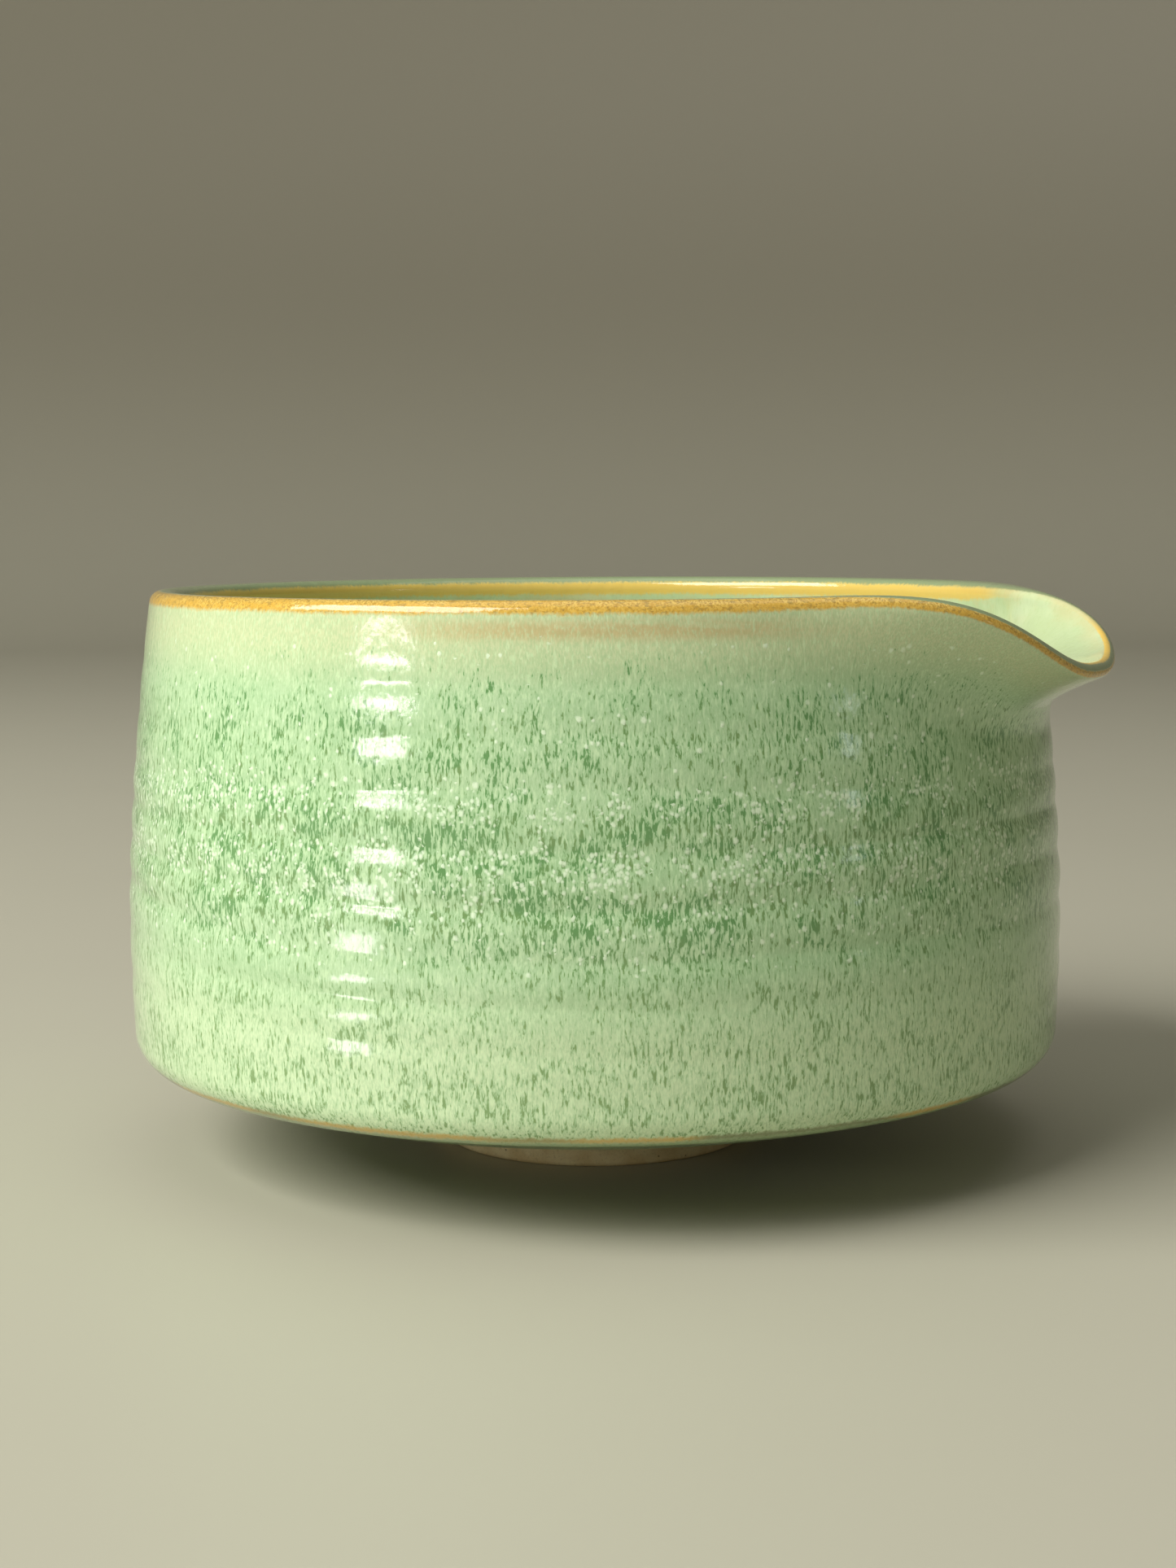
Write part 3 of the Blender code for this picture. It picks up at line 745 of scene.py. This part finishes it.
def build_liner():
    low, r1 = low_inner(24, 44)
    low = low[1:]
    low = np.vstack([[0.02, FLOOR_Z], [0.6, FLOOR_Z], low])
    h_low = TOP_Z - INNER_TURN_Z
    hs = np.linspace(h_low, H_IN, 78)
    ext = np.append(hs, H_IN - (hs[-2] - hs[-1]))
    a, h = row_grid(ext)
    full = np.concatenate([spin(low, PHI), inside(a, h)], 1)
    front = full[:, :-1]
    lowb, _ = low_inner(4, 8)
    lowb[0, 0] = 0.02
    lowb = shift_profile(np.vstack([lowb, [(r1, INNER_TURN_Z), (r1, INNER_TURN_Z + 2)]]),
                         -GLAZE_T)[:-2]
    lowb[0] = (0.02, FLOOR_Z - GLAZE_T)
    a2, h2 = row_grid(np.r_[np.linspace(h_low, 20.0, 4)[:-1], np.linspace(20.0, H_IN, 24)])
    back = np.concatenate([spin(lowb, PHI), inside(a2, h2, GLAZE_T)], 1)
    hgt = np.concatenate([np.tile(low[:, 1], (NPHI, 1)), TOP_Z - np.tile(hs, (NPHI, 1))], 1)
    lip = np.concatenate([np.full((NPHI, len(low)), -60.0),
                          -LIP_HALF - np.tile(hs, (NPHI, 1))], 1)
    seg = np.linalg.norm(np.diff(front[NPHI // 2], axis=0), axis=1)
    v = np.r_[0, np.cumsum(seg)]
    ob = add_skin("glaze_inside", "inner_glaze", front, back, hgt, lip,
                  v / v[-1], 3, liner_material())
    wide = np.concatenate([full[:, :1], full], 1)
    seam_normals(ob, wide, (1, 1), front.shape[1], back.shape[1])
    return ob


def ring_grid(prof, phi):
    return spin(np.array(prof), phi)


def build_foot():
    """Turned foot ring with its bevels and the fine grooves of the turning tool."""
    ro, ri = FOOT_R, FOOT_R - FOOT_W
    prof = [(ro + 0.2, FOOT_H), (ro + 0.17, 3.4), (ro + 0.13, 2.6), (ro + 0.08, 1.8), (ro + 0.03, 1.1),
            (ro, 0.62), (ro - 0.10, 0.30), (ro - 0.30, 0.09), (ro - 0.55, 0.0)]
    n = 14
    for i in range(1, n):
        r = ro - 0.55 - (FOOT_W - 1.1) * i / n
        prof.append((r, 0.03 * (i % 2)))
    prof += [(ri + 0.55, 0.0), (ri + 0.30, 0.09), (ri + 0.10, 0.30), (ri, 0.62), (ri + 0.06, 1.5),
             (ri + 0.14, 2.6), (ri + 0.2, RECESS_Z - 0.05)]
    phi = np.linspace(0, 2 * math.pi, 288, endpoint=False)
    g = ring_grid(prof, phi)
    ni, nk = g.shape[:2]
    idx = grid_index(ni, nk)
    quads = grid_quads(np.concatenate([idx, idx[:, :1]], 1))
    me = make_mesh("turned_foot", g.reshape(-1, 3), quads)
    ob = bpy.data.objects.new("turned_foot", me)
    bpy.context.scene.collection.objects.link(ob)
    fix_out(ob)
    # the foot's clay is painted lighter than the body's fired clay: painted light standing in for the
    # bright floor's bounce on the foot
    me.materials.append(clay_material("bare_clay_painted_light", srgb(236, 220, 174), srgb(220, 196, 144), 0.72))
    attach(ob, "root")
    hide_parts("foot_ring")
    return ob


def slab(name, out, inn, closed=True, pole=False, keep=None, lip=None):
    """Closed body between two grids (angle, row): the cut edges get side faces, the lip a round-over."""
    ni, nk = len(out), len(out[0])
    verts, index, faces, cells = [], {}, [], set()

    def vid(key, p):
        if key not in index:
            index[key] = len(verts)
            verts.append(tuple(p))
        return index[key]

    def o(i, k):
        i %= ni
        return vid(("o", 0 if pole and k == 0 else i, k), out[i][k])

    def q(i, k):
        i %= ni
        return vid(("q", 0 if pole and k == 0 else i, k), inn[i][k])

    def chain(i, k):
        i %= ni
        if k == nk - 1:
            return [o(i, k)] + [vid(("m", i, j), p) for j, p in enumerate(lip[i])] + [q(i, k)]
        return [o(i, k), q(i, k)]

    def face(*ids):
        ids = [a for n, a in enumerate(ids) if a != ids[n - 1]]
        if len(ids) > 2:
            faces.append(tuple(ids))

    def side(a, b):
        if len(a) == len(b):
            for j in range(len(a) - 1):
                face(a[j], b[j], b[j + 1], a[j + 1])
        else:
            face(*(b + a[::-1]))

    for i in range(ni if closed else ni - 1):
        for k in range(nk - 1):
            if keep is None or keep(i, k):
                cells.add((i, k))
    for i, k in sorted(cells):
        face(o(i, k), o(i + 1, k), o(i + 1, k + 1), o(i, k + 1))
        face(q(i, k), q(i, k + 1), q(i + 1, k + 1), q(i + 1, k))
        nxt = ((i + 1) % ni, k) if closed else (i + 1, k)
        prv = ((i - 1) % ni, k) if closed else (i - 1, k)
        if nxt not in cells:
            side(chain(i + 1, k + 1), chain(i + 1, k))
        if prv not in cells:
            side(chain(i, k), chain(i, k + 1))
        if (i, k + 1) not in cells:
            side(chain(i, k + 1), chain(i + 1, k + 1))
        if (i, k - 1) not in cells and not (pole and k == 0):
            side(chain(i + 1, k), chain(i, k))
    me = bpy.data.meshes.new(name)
    pts = (np.array(verts) + [AXIS_X, 0, 0]) * MM
    me.from_pydata([tuple(p) for p in pts], [], faces)
    me.update()
    me.polygons.foreach_set("use_smooth", np.ones(len(me.polygons), bool))
    me.set_sharp_from_angle(angle=math.radians(32))
    ob = bpy.data.objects.new(name, me)
    bpy.context.scene.collection.objects.link(ob)
    fix_out(ob)
    return ob


def build_clay():
    """Thrown clay body and pulled spout under the glaze, as fine as the skins over them."""
    skin, c = GLAZE_T + GAP, SPOUT_CUT
    gap = math.degrees(GAP / 2 / 59.0)
    n = 60
    fine = [-c + gap] + [-c + 2 * c * i / n for i in range(1, n)] + [c - gap]
    rest = [c + gap] + list(np.linspace(c, 360 - c, 100)[1:-1]) + [360 - c - gap]
    phi = np.radians(np.array(fine + rest))
    nf = len(fine)
    z_cut = TOP_Z - SPOUT_CUT_H
    zs_low = np.linspace(EDGE_CZ, INNER_TURN_Z, 5)[:-1]
    zs = np.r_[np.linspace(INNER_TURN_Z, z_cut - GAP / 2, 7), np.linspace(z_cut + GAP / 2, TOP_Z, 18)]
    n_high = 18
    # outside: recess, foot's root, underside, turned edge, wall
    r_in = FOOT_R - FOOT_W
    low = shift_profile(np.vstack([low_outer(6, 9, GLAZE_STOP_R - 0.6),
                                   [(wall_r(EDGE_CZ), EDGE_CZ)]]), skin)[:-1]
    head = np.array([(0, RECESS_Z), (r_in + 0.2, RECESS_Z + GAP), (FOOT_R + 0.2, FOOT_H + GAP)])
    low = np.vstack([head, low])
    a, h = np.meshgrid(phi, TOP_Z - np.r_[zs_low, zs], indexing="ij")
    out = np.concatenate([spin(low, phi), outside(a, h, skin)], 1)
    n_low = len(low) + len(zs_low)
    low_i, r1 = low_inner(6, n_low - 6)
    low_i = shift_profile(np.vstack([low_i, [(r1, INNER_TURN_Z), (r1, INNER_TURN_Z + 2)]]), -skin)[:-2]
    low_i[0, 0] = 0.0
    a, h = np.meshgrid(phi, TOP_Z - zs, indexing="ij")
    inn = np.concatenate([spin(low_i, phi), inside(a, h, skin)], 1)
    lips = lip_points(phi, 8, skin)[:, 1:-1]
    nk, ni = out.shape[1], len(phi)
    k_cut = nk - n_high

    def keep(i, k):
        return not (k >= k_cut - 1 and (i < nf or i == ni - 1))

    mat = clay_material("fired_clay", srgb(222, 198, 150), srgb(200, 170, 122), 0.75)
    for name, node, ob in (
            ("clay_body", "clay_bowl", slab("clay_body", out, inn, pole=True, keep=keep, lip=lips)),
            ("clay_spout", "pouring_spout", slab("clay_spout", out[:nf, k_cut:], inn[:nf, k_cut:],
                                                 closed=False, lip=lips[:nf]))):
        ob.data.materials.append(mat)
        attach(ob, "root")
        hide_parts(node)
    return ob


def fix_out(ob):
    """Turn the faces outward if the closed mesh came out inside out."""
    me = ob.data
    me.calc_loop_triangles()
    n = len(me.loop_triangles)
    t = np.empty(n * 3, np.int32)
    me.loop_triangles.foreach_get("vertices", t)
    v = np.empty(len(me.vertices) * 3)
    me.vertices.foreach_get("co", v)
    p = v.reshape(-1, 3)[t.reshape(-1, 3)]
    vol = np.einsum("ij,ij->i", p[:, 0], np.cross(p[:, 1], p[:, 2])).sum()
    if vol < 0:
        me.flip_normals()
    me.update()


for ob_f in (build_outer, build_lip, build_liner, build_foot, build_clay):
    made = ob_f()
    print("made", made.name, len(made.data.polygons))

# ------------------------------------------------------------------ studio


def floor_material():
    """Pale floor that turns a shade darker where it rises into the backdrop."""
    k = Nodes("pale_floor")
    n = k.noise(k.place((0.02, 0.02, 0.02)), detail=2.0)
    sep = k.t.nodes.new("ShaderNodeSeparateXYZ")
    k.link(k.coord.outputs["Object"], sep.inputs[0])
    col = k.mix(k.mul(n, 0.12), srgb(186, 184, 166), srgb(172, 170, 152))
    col = k.mix(k.ramp(sep.outputs[2], 0.0, 0.30), col, srgb(156, 152, 134))
    k.link(col, k.bsdf.inputs["Base Color"])
    k.bsdf.inputs["Roughness"].default_value = 0.5
    return k.m


def build_stage():
    """Round floor that curves up into a low wall on every side."""
    n, rad = 96, 0.5
    prof = [(0.25, 0.0), (0.6, 0.0), (1.0, 0.0), (1.35, 0.0)]
    for i in range(1, 15):
        a = math.pi / 2 * i / 14
        prof.append((1.35 + rad * math.sin(a), rad * (1 - math.cos(a))))
    prof.append((1.85, 1.5))
    verts = [(0.0, 0.0, 0.0)]
    faces = []
    m = len(prof)
    for i in range(n):
        t = 2 * math.pi * i / n
        verts += [(r * math.cos(t), r * math.sin(t), z) for r, z in prof]
    for i in range(n):
        a, b = 1 + i * m, 1 + (i + 1) % n * m
        faces.append((0, a, b))
        faces += [(a + j, a + j + 1, b + j + 1, b + j) for j in range(m - 1)]
    me = bpy.data.meshes.new("studio_cove")
    me.from_pydata(verts, [], faces)
    for p in me.polygons:
        p.use_smooth = True
    ob = bpy.data.objects.new("studio_cove", me)
    bpy.context.scene.collection.objects.link(ob)
    me.materials.append(floor_material())


build_stage()


bpy.context.scene.view_settings.view_transform = "Standard"


def aim(ob, where, target):
    ob.location = where
    d = Vector(target) - Vector(where)
    ob.rotation_euler = d.to_track_quat("-Z", "Y").to_euler()


def area(name, where, target, w, h, power, colour):
    li = bpy.data.lights.new(name, "AREA")
    li.shape, li.size, li.size_y = "RECTANGLE", w, h
    li.energy, li.color = power, colour
    ob = bpy.data.objects.new(name, li)
    bpy.context.scene.collection.objects.link(ob)
    ob.visible_camera = False
    aim(ob, where, target)
    return ob


def turned(az_from_view, dist, z):
    """A point az degrees to the camera's left of the line from the bowl to the camera."""
    a = math.radians(-90 + VIEW_TURN - az_from_view)
    return (AXIS_X * MM + dist * math.cos(a), dist * math.sin(a), z)


CENTRE = (AXIS_X * MM, 0.0, 0.04)
area("key_window", turned(50, 0.9, 0.185), CENTRE, 0.19, 0.055, 0.62, (1.0, 0.97, 0.92))
area("low_bounce", turned(48, 0.20, 0.004), turned(48, 0.19, 0.5), 0.024, 0.09, 0.07, (1.0, 0.98, 0.94))
area("soft_front", turned(58, 1.15, 0.98), CENTRE, 1.3, 0.8, 31.0, (1.0, 0.975, 0.95))
area("soft_top", (0.0, 0.0, 1.3), CENTRE, 1.2, 1.2, 3.5, (1.0, 0.98, 0.94))
area("small_pane", turned(-62, 1.2, 0.22), CENTRE, 0.05, 0.10, 0.09, (0.85, 0.93, 1.0))

world = bpy.data.worlds.new("studio_air")
bpy.context.scene.world = world
world.use_nodes = True
world.node_tree.nodes["Background"].inputs[0].default_value = (0.80, 0.79, 0.73, 1)
world.node_tree.nodes["Background"].inputs[1].default_value = 0.16

# ------------------------------------------------------------------ camera
S = BODY_R * MM
F_PX, DIST, HIGH, PITCH, YAW, ROLL = 3064.5, 5.40, 1.3369, 0.1055, -0.0025, -0.0057
cam_data = bpy.data.cameras.new("view")
cam_data.sensor_fit = "HORIZONTAL"
cam_data.sensor_width = 36.0
cam_data.lens = F_PX / 1445.0 * 36.0
cam_data.clip_start = 0.01
cam = bpy.data.objects.new("view", cam_data)
bpy.context.scene.collection.objects.link(cam)
cp, sp, cy, sy = math.cos(PITCH), math.sin(PITCH), math.cos(YAW), math.sin(YAW)
fwd = Vector((sy * cp, cy * cp, -sp))
right = Vector((cy, -sy, 0.0))
up = right.cross(fwd)
r2 = math.cos(ROLL) * right + math.sin(ROLL) * up
u2 = -math.sin(ROLL) * right + math.cos(ROLL) * up
m = Matrix((r2, u2, -fwd)).transposed().to_4x4()
m.translation = Vector((0.0, -DIST * S, HIGH * S))
turn = Matrix.Translation((AXIS_X * MM, 0, 0)) @ Matrix.Rotation(math.radians(VIEW_TURN), 4, "Z")
cam.matrix_world = turn @ m
bpy.context.scene.camera = cam
